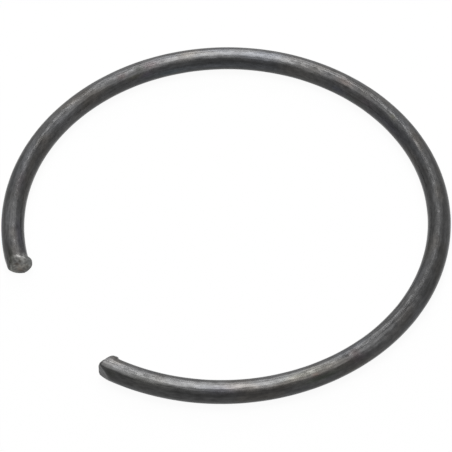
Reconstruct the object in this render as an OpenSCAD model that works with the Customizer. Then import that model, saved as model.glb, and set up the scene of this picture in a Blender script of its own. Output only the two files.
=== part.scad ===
// Round wire retaining ring for a groove in a bore.
// One piece of spring wire is coiled into an open ring and sheared off at both ends.
// The ring lies in the XY plane around Z, with the middle of its gap on -Y.

/* [Wire] */
// Diameter of the round spring wire
wire_d = 2.5; // [1.6:0.1:3.2]

/* [Ring] */
// Diameter of the back half of the relaxed ring, at the middle of the wire
ring_d = 46; // [36:0.1:60]
// Extra bend radius of the left arm, which is coiled a little flatter than the back
left_flare = 0.27; // [0:0.01:2]
// Extra bend radius of the right arm
right_flare = 0.72; // [0:0.01:2]

/* [Gap] */
// Distance from the middle of the gap to the left end, at the middle of the wire
left_gap = 7.8; // [3:0.05:14]
// Distance from the middle of the gap to the right end, at the middle of the wire
right_gap = 8.5; // [3:0.05:14]

/* [Left end] */
// Depth of the roll-over, where the blade drew the outer side of the wire in
left_roll_depth = 0.1; // [0.05:0.01:0.7]
// Length of the roll-over along the wire
left_roll_length = 0.9; // [0.2:0.05:2.5]
// Width of the sheared face, which follows the roll-over
left_shear_width = 1.7; // [0.2:0.05:2]
// Slant of the sheared face, positive where its inner side is cut back
left_shear_slant = -18; // [-30:1:45]
// Slant of the broken face, which follows the sheared one
left_break_slant = 4; // [-30:1:30]
// Height of the burr that the blade left on the inner side
left_burr_height = 0.26; // [0.05:0.01:0.4]
// Length over which the burr rises
left_burr_rise = 0.5; // [0.2:0.05:1]
// Length that the burr runs on to the edge of the broken face
left_burr_run = 0.4; // [0.05:0.05:1]

/* [Right end] */
// Depth of the roll-over at the right end
right_roll_depth = 0.63; // [0.05:0.01:0.7]
// Length of the roll-over at the right end
right_roll_length = 1.75; // [0.2:0.05:2.5]
// Width of the sheared face at the right end
right_shear_width = 0.6; // [0.2:0.05:2]
// Slant of the sheared face at the right end
right_shear_slant = 38; // [-30:1:45]
// Slant of the broken face at the right end
right_break_slant = 14; // [-30:1:30]
// Height of the burr at the right end
right_burr_height = 0.16; // [0.05:0.01:0.4]
// Length over which the burr at the right end rises
right_burr_rise = 0.3; // [0.2:0.05:1]
// Length that the burr at the right end runs on
right_burr_run = 0.4; // [0.05:0.05:1]

/* [Smoothness] */
// Facets around the wire in a drawn preview
wire_facets = 48; // [24:4:96]
// Facets around the whole ring in a drawn preview
ring_facets = 240; // [120:12:360]

/* [Hidden] */
wire_r = wire_d / 2;
ring_r = ring_d / 2;
// Length of wire beyond an end that the shear takes off
offcut = wire_d;
// Reach of the shear's cut to each side, past the wire and its burr
cut_reach = 2 * wire_d;
// How much slimmer than the wire a burr is, so that it stays clear of the upper and lower side
burr_inset = 0.2;

// Wire bent to an arc around the origin, from one angle to another
module bent_wire(bend_r, from, to) {
    rotate_extrude(angle = to - from, start = from, $fn = ring_facets)
        translate([bend_r, 0])
            circle(r = wire_r, $fn = wire_facets);
}

// Angle that an arm turns through before it ends at its distance from the middle of the gap
function arm_sweep(arm_r, gap) = acos((arm_r - ring_r + gap) / arm_r);

// Puts a shape at an arm's end: X runs out along the wire, Y points to the outer side
module at_end(arm_r, gap) {
    translate([ring_r - arm_r, 0, 0])
        rotate(-arm_sweep(arm_r, gap))
            translate([arm_r, 0, 0])
                rotate(-90)
                    children();
}

// Outline of an end face seen from above, as places along the wire at distances across it.
// It starts at the crest, where the roll-over ends, and turns at the foot of the sheared face.
function face_at(across, crest, foot, shear_slant, break_slant) =
    across > foot
        ? (across - crest) * tan(shear_slant)
        : (foot - crest) * tan(shear_slant) + (across - foot) * tan(break_slant);

// What the shear takes away beyond the roll-over, the sheared face and the broken face
module shear_cut(roll_depth, roll_length, shear_width, shear_slant, break_slant) {
    crest = wire_r - roll_depth;
    foot = crest - shear_width;
    middle = face_at(0, crest, foot, shear_slant, break_slant);
    roll_end = -roll_length * (cut_reach - crest) / roll_depth;
    foot_at = face_at(foot, crest, foot, shear_slant, break_slant);
    break_end = face_at(-cut_reach, crest, foot, shear_slant, break_slant);
    translate([-middle, 0, -cut_reach / 2])
        linear_extrude(height = cut_reach)
            polygon([
                [roll_end, cut_reach],
                [0, crest],
                [foot_at, foot],
                [break_end, -cut_reach],
                [cut_reach, -cut_reach],
                [cut_reach, cut_reach]
            ]);
}

// Metal pushed past the inner side of the wire: it rises, then runs on past the broken face
module burr(height, rise, run) {
    top_r = wire_r - burr_inset;
    translate([-run - rise, -burr_inset - height, 0])
        rotate([0, 90, 0]) {
            cylinder(h = rise, r1 = top_r - height, r2 = top_r, $fn = wire_facets);
            translate([0, 0, rise])
                cylinder(h = run + offcut, r = top_r, $fn = wire_facets);
        }
}

// Right arm with its sheared end, which continues the back half of the ring tangentially
module arm(flare, gap, roll_depth, roll_length, shear_width, shear_slant, break_slant,
           burr_height, burr_rise, burr_run) {
    arm_r = ring_r + flare;
    crest = wire_r - roll_depth;
    foot = crest - shear_width;
    inner_edge = face_at(-wire_r, crest, foot, shear_slant, break_slant)
        - face_at(0, crest, foot, shear_slant, break_slant);
    difference() {
        union() {
            translate([ring_r - arm_r, 0, 0])
                bent_wire(arm_r, -arm_sweep(arm_r, gap) - asin(offcut / arm_r), 0);
            at_end(arm_r, gap)
                translate([inner_edge, 0, 0])
                    burr(burr_height, burr_rise, burr_run);
        }
        at_end(arm_r, gap)
            shear_cut(roll_depth, roll_length, shear_width, shear_slant, break_slant);
    }
}

module retaining_ring() {
    color("dimgray")
        union() {
            bent_wire(ring_r, 0, 180);
            arm(right_flare, right_gap, right_roll_depth, right_roll_length,
                right_shear_width, right_shear_slant, right_break_slant,
                right_burr_height, right_burr_rise, right_burr_run);
            mirror([1, 0, 0])
                arm(left_flare, left_gap, left_roll_depth, left_roll_length,
                    left_shear_width, left_shear_slant, left_break_slant,
                    left_burr_height, left_burr_rise, left_burr_run);
        }
}

retaining_ring();
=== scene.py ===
"""Looks of the round wire retaining ring: its detailed mesh, its dark oxide finish and a white studio."""
import math

import bpy
import numpy as np
from mathutils import Matrix, Vector, noise


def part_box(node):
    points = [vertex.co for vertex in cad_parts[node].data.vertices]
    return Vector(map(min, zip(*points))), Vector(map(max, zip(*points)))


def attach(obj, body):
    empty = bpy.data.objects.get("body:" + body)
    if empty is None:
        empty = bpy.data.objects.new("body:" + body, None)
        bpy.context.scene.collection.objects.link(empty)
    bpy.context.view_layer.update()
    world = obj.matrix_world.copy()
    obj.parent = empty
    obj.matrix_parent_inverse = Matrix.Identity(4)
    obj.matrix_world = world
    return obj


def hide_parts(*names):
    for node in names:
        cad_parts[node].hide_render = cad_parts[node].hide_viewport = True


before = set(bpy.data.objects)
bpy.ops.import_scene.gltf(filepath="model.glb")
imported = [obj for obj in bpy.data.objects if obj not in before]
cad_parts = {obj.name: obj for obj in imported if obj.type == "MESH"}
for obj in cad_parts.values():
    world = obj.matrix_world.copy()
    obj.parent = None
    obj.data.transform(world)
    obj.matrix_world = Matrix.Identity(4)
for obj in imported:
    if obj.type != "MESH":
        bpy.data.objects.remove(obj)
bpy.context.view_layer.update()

# The ring is worked out in millimetres, and its mesh is written in metres
MM = 0.001

# Wire and ring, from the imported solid: the wire lies flat, and the back half reaches furthest along +Y
LOW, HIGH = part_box("retaining_ring")
WIRE_R = HIGH.z / MM
RING_R = HIGH.y / MM - WIRE_R

# Extra bend radius of each arm, and the distance of its end from the middle of the gap
LEFT_FLARE, LEFT_GAP = 0.27, 7.8
RIGHT_FLARE, RIGHT_GAP = 0.72, 8.5

# Rings of vertices along the wire and over each tip, and vertices around
ALONG = 800
TIP_RINGS = 104
AROUND = 96

# How far each seed moves the noise of the mesh, and the noise's own roughness and lacunarity
NOISE_SHIFT = (7.3, 3.1, 5.7)
FRACTAL = (1.0, 2.0)


# The bent wire. A place on it is (along, out, up): the distance from the left end along the wire's middle,
# then the distances from that middle to the ring's outer side and up.

def arm_length(flare, gap):
    """Length of an arm along its middle, from the back half to its end."""
    arm_r = RING_R + flare
    return arm_r * math.acos((arm_r - RING_R + gap) / arm_r)


LEFT_ARM = arm_length(LEFT_FLARE, LEFT_GAP)
RIGHT_ARM = arm_length(RIGHT_FLARE, RIGHT_GAP)
BACK_END = LEFT_ARM + math.pi * RING_R
WIRE_LENGTH = BACK_END + RIGHT_ARM


def bend(places):
    """Bends places on the straight wire round the ring: the back half first, and both arms flatter."""
    along, out, up = places[:, 0], places[:, 1], places[:, 2]
    left = along < LEFT_ARM
    right = along > BACK_END
    bend_r = np.where(left, RING_R + LEFT_FLARE, np.where(right, RING_R + RIGHT_FLARE, RING_R))
    centre = np.where(left, LEFT_FLARE, np.where(right, -RIGHT_FLARE, 0.0))
    turned = np.where(right, along - BACK_END, along - LEFT_ARM) / bend_r
    angle = np.where(right, 0.0, math.pi) - turned
    reach = bend_r + out
    return np.stack([centre + reach * np.cos(angle), reach * np.sin(angle), up], -1)


def smooth_max(a, b, width):
    """The larger of two distances, rounded off where they are nearly equal."""
    near = np.maximum(width - np.abs(a - b), 0) / width
    return np.maximum(a, b) + near ** 2 * width / 4


def smooth_step(x, low, high):
    """0 below low and 1 above high, with a soft change between."""
    t = np.clip((x - low) / (high - low), 0, 1)
    return t * t * (3 - 2 * t)


def rough_noise(places, scale, octaves, seed):
    """Fractal noise of about -1 to 1, with a scale for each direction. Each seed moves it elsewhere."""
    fx, fy, fz = scale
    shift = Vector([seed * step for step in NOISE_SHIFT])
    return np.array([
        noise.fractal(Vector((x * fx, y * fy, z * fz)) + shift, *FRACTAL, octaves)
        for x, y, z in places.tolist()
    ])


# The sheared ends. Each has the roll-over on its outer side, the sheared face, the broken face and the burr
# on its inner side, in millimetres and degrees as on the solid. Only the burr starts a little higher, since
# it loses height towards its edge. Smeared is how bare the burr is, and roll_edge rounds the rim of the
# roll-over. The edges of the face are sharp but for worn stretches: the upper edge from the inner side
# outwards, and the foot.

LEFT_CUT = dict(
    roll_depth=0.10, roll_length=0.9, shear_width=1.7, shear_slant=-18.0, break_slant=4.0,
    burr_height=0.29, burr_rise=0.5, burr_run=0.4, smeared=0.9, roll_edge=0.1,
    edge=0.04, worn_top=0.75, worn_from=(0.2, 1.1), worn_across=(-1.05, -0.5), worn_foot=0.0,
)
RIGHT_CUT = dict(
    roll_depth=0.63, roll_length=1.75, shear_width=0.6, shear_slant=38.0, break_slant=14.0,
    burr_height=0.2, burr_rise=0.3, burr_run=0.4, smeared=0.5, roll_edge=0.14,
    edge=0.06, worn_top=0.3, worn_from=(0.4, 1.0), worn_across=(0.1, 0.5), worn_foot=0.25,
)
# How far behind an end the rays start that find its surface, and the furthest that they look
TIP_BACK = 2.2
TIP_REACH = 3.6
BISECTIONS = 30
# How much closer together the rings of a tip are at its face than where it joins the wire
TIP_CROWDING = 1.5
# Share of its height that the burr loses towards its edge, and how far past the edge it would have lost it
BURR_FALL = 0.25
BURR_FALL_PAST = 0.1
# Depths below the wire's middle where the worn foot of a face begins and where it is full
FOOT_FROM = (0.6, 1.15)
# Where bare metal starts and is full: at a face's edge in widths of its rounding, and on a burr along the
# wire and towards the inner side
BARE_AT_EDGE = (-0.8, 0.2)
BARE_ALONG_BURR = (-1.1, -0.6)
BARE_ACROSS_BURR = (0.45, 0.95)


def face_line(out, cut):
    """Place of an end's face along the wire at a distance across it, from the crest of the roll-over."""
    crest = WIRE_R - cut["roll_depth"]
    foot = crest - cut["shear_width"]
    shear = math.tan(math.radians(cut["shear_slant"]))
    torn = math.tan(math.radians(cut["break_slant"]))
    sheared = (out - crest) * shear
    broken = (foot - crest) * shear + (out - foot) * torn
    return np.maximum(sheared, broken) if shear > torn else np.minimum(sheared, broken)


def tip_distances(s, n, up, bend_r, cut):
    """Distances past the end's face and past the rest of its surface, negative inside the metal.
    s runs straight out of the end, and n towards its outer side."""
    middle = float(face_line(np.array(0.0), cut))
    crest = WIRE_R - cut["roll_depth"]
    inner_edge = float(face_line(np.array(-WIRE_R), cut)) - middle
    out = np.hypot(bend_r + n, s) - bend_r
    burr_top = inner_edge - cut["burr_run"]
    fallen = 1 - BURR_FALL * smooth_step(s, burr_top, inner_edge + BURR_FALL_PAST)
    pushed = cut["burr_height"] * smooth_step(s, burr_top - cut["burr_rise"], burr_top) * fallen
    burred = np.where(out < 0, out * WIRE_R / (WIRE_R + pushed), out)
    wire = np.hypot(burred, up) - WIRE_R
    steepest = math.radians(max(abs(cut["shear_slant"]), abs(cut["break_slant"])))
    face = (s - face_line(n, cut) + middle) * math.cos(steepest)
    roll_slope = math.atan2(cut["roll_depth"], cut["roll_length"])
    roll = (s + middle) * math.sin(roll_slope) + (n - crest) * math.cos(roll_slope)
    return face, smooth_max(wire, roll, cut["roll_edge"])


def edge_rounding(n, up, cut):
    """Width of the soft change between an end's face and the rest of its surface."""
    worn = smooth_step(up, *cut["worn_from"]) * smooth_step(n, *cut["worn_across"])
    foot = smooth_step(-up, *FOOT_FROM)
    return cut["edge"] + cut["worn_top"] * worn + cut["worn_foot"] * foot


def bare_share(s, out, face, rest, rounding, cut):
    """How bare each place of a tip is: 1 on the cut face, less on the burr, and 0 on the wire."""
    low, high = BARE_AT_EDGE
    on_face = smooth_step(face - rest, low * rounding, high * rounding)
    on_burr = smooth_step(s, *BARE_ALONG_BURR) * smooth_step(-out, *BARE_ACROSS_BURR)
    return np.maximum(on_face, cut["smeared"] * on_burr)


def tip_places(end_at, outwards, bend_r, cut):
    """Places of a tip's rings, from a full section of the wire to the middle of its face, and how bare
    each of them is."""
    lean = (math.pi / 2 * (1 - np.linspace(0, 1, TIP_RINGS + 1)) ** TIP_CROWDING)[:, None]
    around = np.linspace(0, 2 * math.pi, AROUND, endpoint=False)[None, :]
    turn = TIP_BACK / bend_r
    start_s, start_n = -bend_r * math.sin(turn), bend_r * (math.cos(turn) - 1)
    ahead, aside = np.cos(lean) * np.ones_like(around), np.sin(lean) * np.cos(around)
    ray_s = ahead * math.cos(turn) - aside * math.sin(turn)
    ray_n = ahead * math.sin(turn) + aside * math.cos(turn)
    ray_up = np.sin(lean) * np.sin(around)
    near, far = np.zeros_like(ray_s), np.full_like(ray_s, TIP_REACH)
    for _ in range(BISECTIONS):
        reach = (near + far) / 2
        s, n, up = start_s + reach * ray_s, start_n + reach * ray_n, reach * ray_up
        face, rest = tip_distances(s, n, up, bend_r, cut)
        rounding = edge_rounding(n, up, cut)
        inside = smooth_max(face, rest, rounding) < 0
        near, far = np.where(inside, reach, near), np.where(inside, far, reach)
    along = end_at + outwards * bend_r * np.arctan2(s, bend_r + n)
    out = np.hypot(bend_r + n, s) - bend_r
    return np.stack([along, out, up], -1), bare_share(s, out, face, rest, rounding, cut)


# Relief and wear of the surface, and painted highlights and painted shade

# Noise of the mesh: features per millimetre along, out and up, octaves, seed
WAVES = ((0.35, 0.75, 0.75), 2, 1)
LINES = ((0.06, 2.6, 2.6), 2, 2)
LUMPS = ((1.6, 1.8, 1.8), 4, 3)
TEARS = ((1.0, 4.5, 0.6), 2, 4)
RAGGED = ((2.0, 2.4, 2.4), 3, 5)

# Depth of the waves from coiling, and how deep they lie on average as a share of it
WAVE_DEPTH = 0.008
WAVE_BASE = 0.4
# Depth of the lines from drawing
LINE_DEPTH = 0.002
# Depth of the torn faces, and as shares of it how deep they lie on average and what lumps and tears add
TORN_DEPTH = 0.03
TORN_BASE, LUMP_SHARE, TEAR_SHARE = 0.3, 0.8, 0.6
# Distances from the wire's middle between which the torn relief dies out
TORN_RIM = (0.9, 1.2)
# Bareness from which a place counts as torn
TORN_FROM = 0.01
# How fast a mark on the wire fades away from its middle
MARK_FADE = 2
# How ragged the rims of the stains, the painted highlight and the painted shade on the face are
STAIN_AND_LIGHT_RAGGED = 0.8

# The marks were placed as the photograph shows them. Those of the wire run from its left end to its right
# one.
# Nicks and scuffs on the wire: along, angle round the section from the outer side up, length, width,
# depth, and tone against the plain surface
NICKS = (
    (23.40, 94, 0.30, 0.10, 0.02, (1.40, 1.40, 1.40)),
    (81.15, 68, 0.14, 0.10, 0.02, (1.30, 1.30, 1.30)),
    (82.40, 74, 0.14, 0.10, 0.02, (1.30, 1.30, 1.30)),
    (85.45, 78, 0.22, 0.12, 0.03, (1.50, 1.50, 1.50)),
    (101.7, 84, 0.50, 0.20, 0.03, (0.80, 0.76, 0.73)),
)
# Stains, tints and worn stretches of the wire, and painted highlights and painted shade where its gloss and
# dark band fall: along, angle, length, width, tone
STAINS_AND_PAINTED_LIGHT = (
    # Painted shade with a greenish tint, where the wire's dark band meets the left face
    (0.90, 60, 1.30, 0.45, (0.62, 0.66, 0.58)),
    (3.70, 124, 2.40, 0.60, (0.98, 0.95, 1.12)),
    (11.00, 104, 2.00, 0.60, (1.05, 0.95, 0.98)),
    (15.60, 90, 1.20, 0.06, (1.30, 1.30, 1.30)),
    (30.30, 110, 0.80, 0.55, (0.86, 0.70, 0.70)),
    (31.70, 139, 1.40, 0.40, (1.02, 0.98, 0.78)),
    (32.60, 105, 0.80, 0.60, (0.48, 0.52, 0.46)),
    (33.10, 148, 1.00, 0.40, (0.98, 0.86, 1.02)),
    (33.90, 105, 1.30, 0.65, (1.02, 0.84, 0.86)),
    (35.80, 176, 2.40, 0.50, (0.86, 1.04, 1.12)),
    (42.50, 170, 12.0, 0.80, (1.03, 1.10, 1.22)),
    (56.70, 164, 1.40, 0.50, (0.93, 1.00, 1.18)),
    (57.20, 107, 1.40, 0.65, (1.32, 1.12, 1.02)),
    (58.40, 184, 0.60, 0.40, (0.90, 1.18, 1.05)),
    (60.80, 140, 1.20, 0.50, (0.98, 0.88, 0.96)),
    (64.60, 107, 0.70, 0.40, (1.12, 1.10, 0.92)),
    (65.50, 151, 3.00, 0.60, (0.97, 0.95, 1.12)),
    (100.8, 43, 1.30, 0.50, (0.86, 0.76, 0.84)),
    (101.0, 76, 0.70, 0.90, (0.92, 0.76, 0.76)),
    (101.8, 60, 1.00, 0.40, (0.68, 0.64, 0.64)),
    (105.2, 37, 2.40, 0.35, (0.72, 0.85, 0.62)),
    (105.8, 60, 0.60, 0.25, (1.30, 1.02, 0.95)),
    # Painted highlight, lightening the gloss on the right arm
    (107.0, 84, 3.50, 0.60, (1.32, 1.42, 1.40)),
    (108.0, 65, 4.50, 0.90, (1.04, 1.00, 0.95)),
    (115.2, 60, 2.20, 0.90, (1.01, 0.97, 1.05)),
    (123.0, 50, 4.00, 0.90, (1.02, 1.02, 0.95)),
    # Painted shade along the edge of the roll-over facet at the right end
    (127.1, 38, 0.90, 0.55, (0.66, 0.68, 0.60)),
    # Painted highlight, lightening the gloss near the right end
    (127.5, 82, 4.00, 0.55, (2.80, 2.80, 2.80)),
)
# Broad painted highlights and painted shade that lighten or darken the wire's gloss and its dark band:
# along, angle, length, width, shade
PAINTED_LIGHT_PATCHES = (
    (4.00, 75, 5.0, 1.00, 1.50),
    (6.20, 68, 4.0, 0.40, 1.80),
    (16.00, 76, 4.5, 0.50, 1.45),
    (20.40, 119, 5.0, 0.40, 1.50),
    (22.20, 156, 4.5, 0.60, 1.35),
    (23.40, 79, 2.4, 0.40, 1.45),
    (43.00, 87, 9.0, 0.40, 1.50),
    (43.50, 124, 2.5, 0.40, 0.75),
    (45.00, 146, 11.0, 0.35, 0.50),
    (58.50, 82, 2.4, 0.40, 0.50),
    (65.70, 139, 4.5, 0.35, 0.60),
    (87.40, 39, 4.0, 0.70, 0.60),
    (87.70, 79, 3.0, 0.40, 0.70),
    (92.40, 58, 3.0, 0.40, 1.40),
    (92.50, 91, 3.0, 0.40, 0.80),
    (98.60, 55, 4.0, 0.40, 1.75),
    (101.9, 70, 3.5, 0.40, 1.30),
    (101.9, 102, 3.0, 0.45, 0.65),
    (111.4, 67, 2.4, 0.40, 1.70),
    (116.0, 38, 12.0, 0.45, 0.56),
    (118.6, 96, 5.0, 0.40, 1.30),
    (125.8, 54, 3.0, 0.35, 0.70),
)
# Stains on the left face, and a painted highlight and painted shade near its upper rim: out, up, width,
# height, tone
FACE_STAINS_AND_PAINTED_LIGHT = (
    # Painted highlight where the wire's gloss runs over the upper rim onto the face
    (-0.52, 0.80, 0.20, 0.50, (1.80, 1.80, 1.77)),
    (-0.35, -0.05, 0.55, 0.28, (1.60, 1.53, 1.44)),
    (0.00, -0.40, 0.35, 0.16, (1.45, 1.34, 1.24)),
    (-0.15, -0.70, 0.42, 0.25, (0.72, 0.62, 0.56)),
    # Painted shade near the upper rim
    (0.75, 0.85, 0.30, 0.60, (0.38, 0.39, 0.35)),
    (-0.18, 0.85, 0.14, 0.16, (0.50, 0.47, 0.43)),
    (0.10, 0.35, 0.20, 0.25, (0.68, 0.61, 0.56)),
    (-0.92, -0.25, 0.14, 0.45, (0.60, 0.60, 0.57)),
    (-1.15, 0.40, 0.25, 0.70, (1.40, 1.44, 1.46)),
    (0.52, 0.25, 0.07, 0.60, (1.35, 1.36, 1.32)),
    (0.75, -0.45, 0.09, 0.55, (1.60, 1.62, 1.57)),
    (0.50, -0.80, 0.25, 0.25, (1.35, 1.35, 1.30)),
    (0.93, -0.10, 0.07, 0.60, (0.60, 0.61, 0.59)),
)


def near_mark(places, at, turn, length, width):
    """1 at the middle of a mark on the wire, and 0 away from it."""
    angle = np.arctan2(places[:, 2], places[:, 1]) - math.radians(turn)
    across = ((angle + math.pi) % (2 * math.pi) - math.pi) * WIRE_R
    return np.exp(-MARK_FADE * (((places[:, 0] - at) / length) ** 2 + (across / width) ** 2))


def wire_depth(places):
    """Depth of the wire's surface below a round wire."""
    waves = WAVE_DEPTH * (WAVE_BASE + rough_noise(places, *WAVES))
    depth = np.maximum(waves + LINE_DEPTH * rough_noise(places, *LINES), 0)
    for *spot, deep, _ in NICKS:
        depth += deep * near_mark(places, *spot)
    return depth


def torn_depth(places):
    """Depth of an end's torn face: lumps, with tears that run up it, and nothing at its edge."""
    lumps = LUMP_SHARE * rough_noise(places, *LUMPS)
    tears = TEAR_SHARE * rough_noise(places, *TEARS)
    from_edge = 1 - smooth_step(np.hypot(places[:, 1], places[:, 2]), *TORN_RIM)
    return TORN_DEPTH * from_edge * np.maximum(TORN_BASE + lumps + tears, 0)


def add_relief(places, cut, outwards):
    """Sinks each place by its depth: towards the wire's middle on the wire, and along it on a cut."""
    sunk = places.copy()
    depth = wire_depth(places) * (1 - cut)
    radius = np.hypot(places[:, 1], places[:, 2])
    scale = 1 - depth / np.maximum(radius, WIRE_R / 2)
    sunk[:, 1] *= scale
    sunk[:, 2] *= scale
    torn = cut > TORN_FROM
    sunk[torn, 0] -= outwards[torn] * torn_depth(places[torn]) * cut[torn]
    return sunk


def surface_tone(places, cut):
    """Tone that the marks, stains, painted highlights and painted shade give to each place, 1 where the
    surface is plain.
    """
    tone = np.ones((len(places), 3))
    marks = [(spot, colour) for *spot, _, colour in NICKS]
    marks += [(spot, colour) for *spot, colour in STAINS_AND_PAINTED_LIGHT + PAINTED_LIGHT_PATCHES]
    for spot, colour in marks:
        near = (near_mark(places, *spot) * (1 - cut))[:, None]
        tone *= 1 + near * (np.array(colour) - 1)
    ragged = 1 + STAIN_AND_LIGHT_RAGGED * rough_noise(places, *RAGGED)
    left_tip = places[:, 0] < TIP_BACK
    for out, up, width, height, colour in FACE_STAINS_AND_PAINTED_LIGHT:
        away = ((places[:, 1] - out) / width) ** 2 + ((places[:, 2] - up) / height) ** 2
        near = (np.exp(-away * ragged) * cut * left_tip)[:, None]
        tone *= 1 + near * (np.array(colour) - 1)
    return tone


def ring_places():
    """Places of all rings of vertices from the left face to the right one, with how bare each is and the
    direction out of the nearer end."""
    left, left_cut = tip_places(0.0, -1, RING_R + LEFT_FLARE, LEFT_CUT)
    right, right_cut = tip_places(WIRE_LENGTH, 1, RING_R + RIGHT_FLARE, RIGHT_CUT)
    along = np.linspace(TIP_BACK, WIRE_LENGTH - TIP_BACK, ALONG)[1:-1, None] * np.ones((1, AROUND))
    angle = np.linspace(0, 2 * math.pi, AROUND, endpoint=False)[None, :] * np.ones_like(along)
    body = np.stack([along, WIRE_R * np.cos(angle), WIRE_R * np.sin(angle)], -1)
    places = np.concatenate([left[::-1], body, right])
    cut = np.concatenate([left_cut[::-1], np.zeros_like(along), right_cut])
    outwards = np.where(places[..., 0] < WIRE_LENGTH / 2, -1.0, 1.0)
    return places, cut, outwards


def ring_faces(index):
    """Faces between the rings of vertices. A face with a corner twice becomes a triangle."""
    faces = []
    for i in range(len(index) - 1):
        for j in range(AROUND):
            k = (j + 1) % AROUND
            corners = [index[i, j], index[i, k], index[i + 1, k], index[i + 1, j]]
            faces.append(list(dict.fromkeys(int(c) for c in corners)))
    return faces


def keep_on_mesh(mesh, name, kind, field, values):
    """Stores a value for each vertex, which the material reads by its name."""
    attribute = mesh.attributes.new(name, kind, "POINT")
    attribute.data.foreach_set(field, values.astype(np.float32).ravel())


def ring_mesh():
    """One closed mesh of the ring. Its vertices keep their places on the straight wire, how bare each is,
    and the tone of its marks, painted highlights and painted shade included."""
    places, cut, outwards = ring_places()
    count = len(places)
    # The first and last rings have shrunk to the middle of a face, and each keeps one vertex
    keep = np.ones((count, AROUND), bool)
    keep[0, 1:] = keep[-1, 1:] = False
    places, cut, outwards = places[keep], cut[keep], outwards[keep]
    shaped = add_relief(places, cut, outwards)
    index = np.cumsum(keep.ravel()).reshape(count, AROUND) - 1
    mesh = bpy.data.meshes.new("retaining_ring_metal")
    mesh.from_pydata((bend(shaped) * MM).tolist(), [], ring_faces(index))
    mesh.validate()
    keep_on_mesh(mesh, "straight", "FLOAT_VECTOR", "vector", places)
    keep_on_mesh(mesh, "cut", "FLOAT", "value", cut)
    keep_on_mesh(mesh, "tone", "FLOAT_VECTOR", "vector", surface_tone(places, cut))
    mesh.update()
    mesh.shade_smooth()
    return mesh


# Material

OXIDE = (0.0345, 0.0345, 0.035)
WARM = (0.0370, 0.0346, 0.0320)
BLUE = (0.0328, 0.0342, 0.0376)
BARE = (0.120, 0.120, 0.116)
# Colour that the metal's reflection takes on at a grazing angle
RIM = (0.62, 0.62, 0.62, 1)

# Noise of the material: features per millimetre, how much longer they are along the wire, detail, seed
MOTTLE = (3.6, 2.4, 2.0, 1)
CLOUDS = (0.9, 2.0, 2.0, 2)
STREAKS = (4.5, 18.0, 2.0, 3)
WARM_ZONES = (0.45, 2.0, 1.0, 4)
BLUE_ZONES = (0.5, 5.0, 1.0, 5)
PEEL = (2.3, 2.6, 1.0, 6)
DRAWN = (4.5, 24.0, 2.0, 7)
SWAY = (0.8, 1.6, 1.0, 8)
# How far each seed moves the noise of the material, and the noise's own roughness
TEXTURE_SHIFT = (9.7, 4.3, 6.1)
NOISE_ROUGHNESS = 0.6
# Range of a noise over which shades and roughness change, and the ranges over which a tint sets in
NOISE_RANGE = (0.3, 0.7)
WARM_RANGE = (0.5, 0.68)
BLUE_RANGE = (0.52, 0.68)
# Darkest and lightest shade that each noise gives to the oxide
MOTTLE_SHADE = (0.68, 1.32)
CLOUD_SHADE = (0.86, 1.14)
STREAK_SHADE = (0.78, 1.22)
# Height of the fine relief in metres, and each noise's share of it
BUMP = 0.00004
SWAY_SHARE, PEEL_SHARE, DRAWN_SHARE = 1.2, 0.5, 0.4
# Roughness over the clouds, what the streaks change in it, and what the bare cuts add
CLOUD_ROUGHNESS = (0.20, 0.32)
STREAK_ROUGHNESS = (-0.03, 0.03)
CUT_ROUGHNESS = (0.0, 0.2)
# On the wire and on the cuts: how far fine drawing lines spread the gloss, and how much oil lies there
ANISOTROPY = (0.8, 0.0)
OIL = (0.4, 0.1)
OIL_ROUGHNESS = 0.14
# The gloss spreads across the wire, a quarter turn from its length
SPREAD_TURN = 0.25


def add(tree, kind, **settings):
    """A new node, with its properties and its inputs set by name."""
    node = tree.nodes.new(kind)
    for name, value in settings.items():
        if hasattr(node, name):
            setattr(node, name, value)
        else:
            node.inputs[name.replace("_", " ")].default_value = value
    return node


def straight_noise(tree, scale, stretch, detail, seed):
    """Noise over the straight wire. Its scale is in features per millimetre, longer along by the stretch."""
    place = add(tree, "ShaderNodeAttribute", attribute_name="straight")
    scaled = add(tree, "ShaderNodeVectorMath", operation="MULTIPLY_ADD")
    tree.links.new(place.outputs["Vector"], scaled.inputs[0])
    scaled.inputs[1].default_value = (scale / stretch, scale, scale)
    scaled.inputs[2].default_value = [seed * shift for shift in TEXTURE_SHIFT]
    texture = add(tree, "ShaderNodeTexNoise", Scale=1.0, Detail=detail, Roughness=NOISE_ROUGHNESS)
    tree.links.new(scaled.outputs["Vector"], texture.inputs["Vector"])
    return texture.outputs["Fac"]


def remap(tree, value, source, target):
    """A value carried from one range to another, held at its ends."""
    node = add(tree, "ShaderNodeMapRange")
    node.inputs["From Min"].default_value, node.inputs["From Max"].default_value = source
    node.inputs["To Min"].default_value, node.inputs["To Max"].default_value = target
    tree.links.new(value, node.inputs["Value"])
    return node.outputs["Result"]


def combine(tree, operation, a, b):
    """Two values, or a value and a number, put together by a math node."""
    node = add(tree, "ShaderNodeMath", operation=operation)
    for socket, value in zip(node.inputs, (a, b)):
        if isinstance(value, float):
            socket.default_value = value
        else:
            tree.links.new(value, socket)
    return node.outputs[0]


def blend_colour(tree, factor, a, b, mode="MIX"):
    """Two colours put together. Each is a colour or a node's output."""
    node = add(tree, "ShaderNodeMix", data_type="RGBA", blend_type=mode)
    slots = [s for s in node.inputs if s.type == "RGBA"]
    for socket, value in zip(slots, (a, b)):
        if isinstance(value, tuple):
            socket.default_value = (*value, 1)
        else:
            tree.links.new(value, socket)
    if isinstance(factor, float):
        node.inputs["Factor"].default_value = factor
    else:
        tree.links.new(factor, node.inputs["Factor"])
    return [s for s in node.outputs if s.type == "RGBA"][0]


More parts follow.
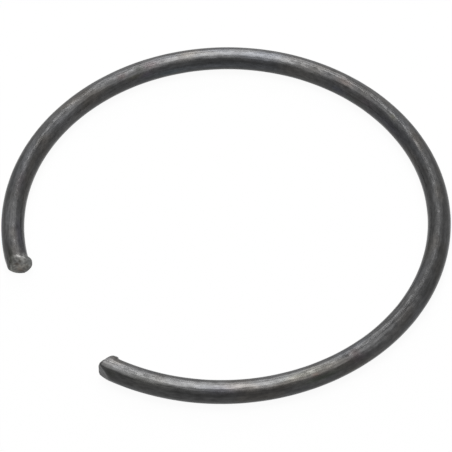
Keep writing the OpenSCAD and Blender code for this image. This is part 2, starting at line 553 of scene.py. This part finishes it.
def steel_colour(tree, cut, clouds, streaks):
    """Dark oxide with warm and blue tints, mottled and streaked along the wire, bare at the cuts, and with
    the stains, painted highlights and painted shade of the marks.
    """
    mottle = straight_noise(tree, *MOTTLE)
    warm = remap(tree, straight_noise(tree, *WARM_ZONES), WARM_RANGE, (0.0, 1.0))
    blue = remap(tree, straight_noise(tree, *BLUE_ZONES), BLUE_RANGE, (0.0, 1.0))
    # The marks' tone carries stains, and painted highlights and painted shade as well
    marks = add(tree, "ShaderNodeAttribute", attribute_name="tone").outputs["Color"]
    colour = blend_colour(tree, warm, OXIDE, WARM)
    colour = blend_colour(tree, blue, colour, BLUE)
    colour = blend_colour(tree, cut, colour, BARE)
    shade = remap(tree, mottle, NOISE_RANGE, MOTTLE_SHADE)
    shade = combine(tree, "MULTIPLY", shade, remap(tree, clouds, NOISE_RANGE, CLOUD_SHADE))
    shade = combine(tree, "MULTIPLY", shade, remap(tree, streaks, NOISE_RANGE, STREAK_SHADE))
    grey = add(tree, "ShaderNodeCombineColor")
    for socket in grey.inputs[:3]:
        tree.links.new(shade, socket)
    colour = blend_colour(tree, 1.0, colour, grey.outputs[0], "MULTIPLY")
    return blend_colour(tree, 1.0, colour, marks, "MULTIPLY")


def fine_relief(tree):
    """Bump of the surface: long sways, the orange peel of the oxide, and drawing lines along the wire."""
    sway = combine(tree, "MULTIPLY", straight_noise(tree, *SWAY), SWAY_SHARE)
    peel = combine(tree, "MULTIPLY", straight_noise(tree, *PEEL), PEEL_SHARE)
    drawn = combine(tree, "MULTIPLY", straight_noise(tree, *DRAWN), DRAWN_SHARE)
    height = combine(tree, "ADD", combine(tree, "ADD", peel, drawn), sway)
    bump = add(tree, "ShaderNodeBump", Strength=1.0, Distance=BUMP)
    tree.links.new(height, bump.inputs["Height"])
    return bump.outputs["Normal"]


def steel_roughness(tree, cut, clouds, streaks):
    """Roughness that drifts over the clouds and the streaks, and is higher at the cuts."""
    dull = remap(tree, clouds, NOISE_RANGE, CLOUD_ROUGHNESS)
    dull = combine(tree, "ADD", dull, remap(tree, streaks, NOISE_RANGE, STREAK_ROUGHNESS))
    return combine(tree, "ADD", dull, remap(tree, cut, (0.0, 1.0), CUT_ROUGHNESS))


def steel_material():
    """Drawn spring steel under dark oxide and a trace of oil, with torn metal at the cuts."""
    material = bpy.data.materials.new("dark_oxide_steel")
    material.use_nodes = True
    tree = material.node_tree
    shader = tree.nodes["Principled BSDF"]
    cut = add(tree, "ShaderNodeAttribute", attribute_name="cut").outputs["Fac"]
    clouds = straight_noise(tree, *CLOUDS)
    streaks = straight_noise(tree, *STREAKS)
    tree.links.new(steel_colour(tree, cut, clouds, streaks), shader.inputs["Base Color"])
    tree.links.new(steel_roughness(tree, cut, clouds, streaks), shader.inputs["Roughness"])
    shader.inputs["Metallic"].default_value = 1.0
    shader.inputs["Specular Tint"].default_value = RIM

    tangent = add(tree, "ShaderNodeTangent", direction_type="RADIAL", axis="Z")
    tree.links.new(tangent.outputs["Tangent"], shader.inputs["Tangent"])
    tree.links.new(remap(tree, cut, (0.0, 1.0), ANISOTROPY), shader.inputs["Anisotropic"])
    shader.inputs["Anisotropic Rotation"].default_value = SPREAD_TURN

    tree.links.new(remap(tree, cut, (0.0, 1.0), OIL), shader.inputs["Coat Weight"])
    shader.inputs["Coat Roughness"].default_value = OIL_ROUGHNESS

    normal = fine_relief(tree)
    tree.links.new(normal, shader.inputs["Normal"])
    tree.links.new(normal, shader.inputs["Coat Normal"])
    return material


def make_ring():
    """The ring in one piece, which takes the place of the solid."""
    mesh = ring_mesh()
    ring = bpy.data.objects.new("retaining_ring_wire", mesh)
    bpy.context.scene.collection.objects.link(ring)
    mesh.materials.append(steel_material())
    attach(ring, "root")
    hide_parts("retaining_ring")


# Camera, from the fit to both edges of the wire

CAMERA_AZIMUTH = 54.25
CAMERA_ELEVATION = 51.368
CAMERA_ROLL = -0.548
CAMERA_DISTANCE = 328.1 * MM
CAMERA_LENS = 241.53
CAMERA_SENSOR = 36
CAMERA_NEAR = 10 * MM
# Pixel of the photograph where the ring's centre lies, and the photograph's width
CENTRE_PX = (226.48, 217.32)
PHOTO_PX = 452


def direction(azimuth, elevation):
    """Unit vector from the ring to a place around it, with azimuth 0 in front of the gap."""
    a, e = math.radians(azimuth), math.radians(elevation)
    return Vector((math.sin(a) * math.cos(e), -math.cos(a) * math.cos(e), math.sin(e)))


def make_camera():
    """The photograph's camera, with the ring's centre shifted to its place in the picture."""
    back = direction(CAMERA_AZIMUTH, CAMERA_ELEVATION)
    level = Vector((0, 0, 1)).cross(back).normalized()
    upright = back.cross(level)
    roll = math.radians(CAMERA_ROLL)
    right = level * math.cos(roll) + upright * math.sin(roll)
    up = upright * math.cos(roll) - level * math.sin(roll)
    lens = bpy.data.cameras.new("camera")
    lens.sensor_width = CAMERA_SENSOR
    lens.lens = CAMERA_LENS
    lens.clip_start = CAMERA_NEAR
    lens.shift_x = 0.5 - CENTRE_PX[0] / PHOTO_PX
    lens.shift_y = CENTRE_PX[1] / PHOTO_PX - 0.5
    camera = bpy.data.objects.new("camera", lens)
    stand = Matrix((right, up, back)).transposed().to_4x4()
    stand.translation = back * CAMERA_DISTANCE
    camera.matrix_world = stand
    bpy.context.scene.collection.objects.link(camera)
    bpy.context.scene.camera = camera


# Studio: a softbox overhead with a strip behind it, a scrim round both, and a panel on a pale back wall

WORLD_LIGHT = 0.05
FLOOR_SIZE = 6.0
FLOOR_COLOUR = (0.8, 0.8, 0.8, 1)
FLOOR_GLOW = 0.945
FLOOR_SHADE = (0.045, 0.045, 0.045, 1)


def softbox(name, elevation, width, height, radiance, distance):
    """A lamp behind or over the ring that faces it. Its width and height are angles seen from the ring."""
    place = direction(CAMERA_AZIMUTH + 180, elevation)
    lamp = bpy.data.lights.new(name, "AREA")
    lamp.shape = "RECTANGLE"
    lamp.size = 2 * distance * math.tan(math.radians(width / 2))
    lamp.size_y = 2 * distance * math.tan(math.radians(height / 2))
    lamp.energy = radiance * math.pi * lamp.size * lamp.size_y
    stand = bpy.data.objects.new(name, lamp)
    facing = place.to_track_quat("Z", "Y").to_matrix().to_4x4()
    stand.matrix_world = Matrix.Translation(place * distance) @ facing
    bpy.context.scene.collection.objects.link(stand)


def make_lights():
    """All lamps of the studio."""
    softbox("top_softbox", elevation=86, width=24, height=16, radiance=7.7, distance=0.5)
    softbox("high_strip", elevation=66, width=10, height=24, radiance=8.6, distance=0.5)
    softbox("scrim", elevation=92, width=70, height=50, radiance=1.9, distance=0.6)
    softbox("back_panel", elevation=37, width=18, height=13, radiance=5.4, distance=0.5)
    softbox("back_wall", elevation=30, width=60, height=60, radiance=0.75, distance=0.7)


def shown_rays(tree):
    """1 for the rays that show the background: from the camera, in gloss and through glass."""
    path = add(tree, "ShaderNodeLightPath")
    seen = combine(tree, "MAXIMUM", path.outputs["Is Camera Ray"], path.outputs["Is Glossy Ray"])
    return combine(tree, "MAXIMUM", seen, path.outputs["Is Transmission Ray"])


def make_world():
    """A world that shows white and gives a plain soft light."""
    world = bpy.data.worlds.new("studio")
    bpy.context.scene.world = world
    world.use_nodes = True
    tree = world.node_tree
    light = tree.nodes["Background"]
    light.inputs["Color"].default_value = (1, 1, 1, 1)
    light.inputs["Strength"].default_value = WORLD_LIGHT
    white = add(tree, "ShaderNodeBackground", Color=(1, 1, 1, 1), Strength=1.0)
    mix = add(tree, "ShaderNodeMixShader")
    tree.links.new(shown_rays(tree), mix.inputs[0])
    tree.links.new(light.outputs[0], mix.inputs[1])
    tree.links.new(white.outputs[0], mix.inputs[2])
    tree.links.new(mix.outputs[0], tree.nodes["World Output"].inputs[0])


def floor_material():
    """A pale floor that shows white, with the object's shadow on it."""
    material = bpy.data.materials.new("studio_floor")
    material.use_nodes = True
    tree = material.node_tree
    tree.nodes.remove(tree.nodes["Principled BSDF"])
    plain = add(tree, "ShaderNodeBsdfDiffuse", Color=FLOOR_COLOUR)
    shade = add(tree, "ShaderNodeBsdfDiffuse", Color=FLOOR_SHADE)
    glow = add(tree, "ShaderNodeEmission", Strength=FLOOR_GLOW)
    white = add(tree, "ShaderNodeAddShader")
    tree.links.new(shade.outputs[0], white.inputs[0])
    tree.links.new(glow.outputs[0], white.inputs[1])
    mix = add(tree, "ShaderNodeMixShader")
    tree.links.new(shown_rays(tree), mix.inputs[0])
    tree.links.new(plain.outputs[0], mix.inputs[1])
    tree.links.new(white.outputs[0], mix.inputs[2])
    tree.links.new(mix.outputs[0], tree.nodes["Material Output"].inputs[0])
    return material


def make_floor():
    """A plain floor that the ring lies on."""
    half = FLOOR_SIZE / 2
    corners = [(x, y, LOW.z) for x, y in ((-half, -half), (half, -half), (half, half), (-half, half))]
    mesh = bpy.data.meshes.new("floor")
    mesh.from_pydata(corners, [], [(0, 1, 2, 3)])
    mesh.materials.append(floor_material())
    floor = bpy.data.objects.new("floor", mesh)
    bpy.context.scene.collection.objects.link(floor)


make_camera()
make_world()
make_lights()
make_floor()
make_ring()
bpy.context.scene.view_settings.view_transform = "Standard"
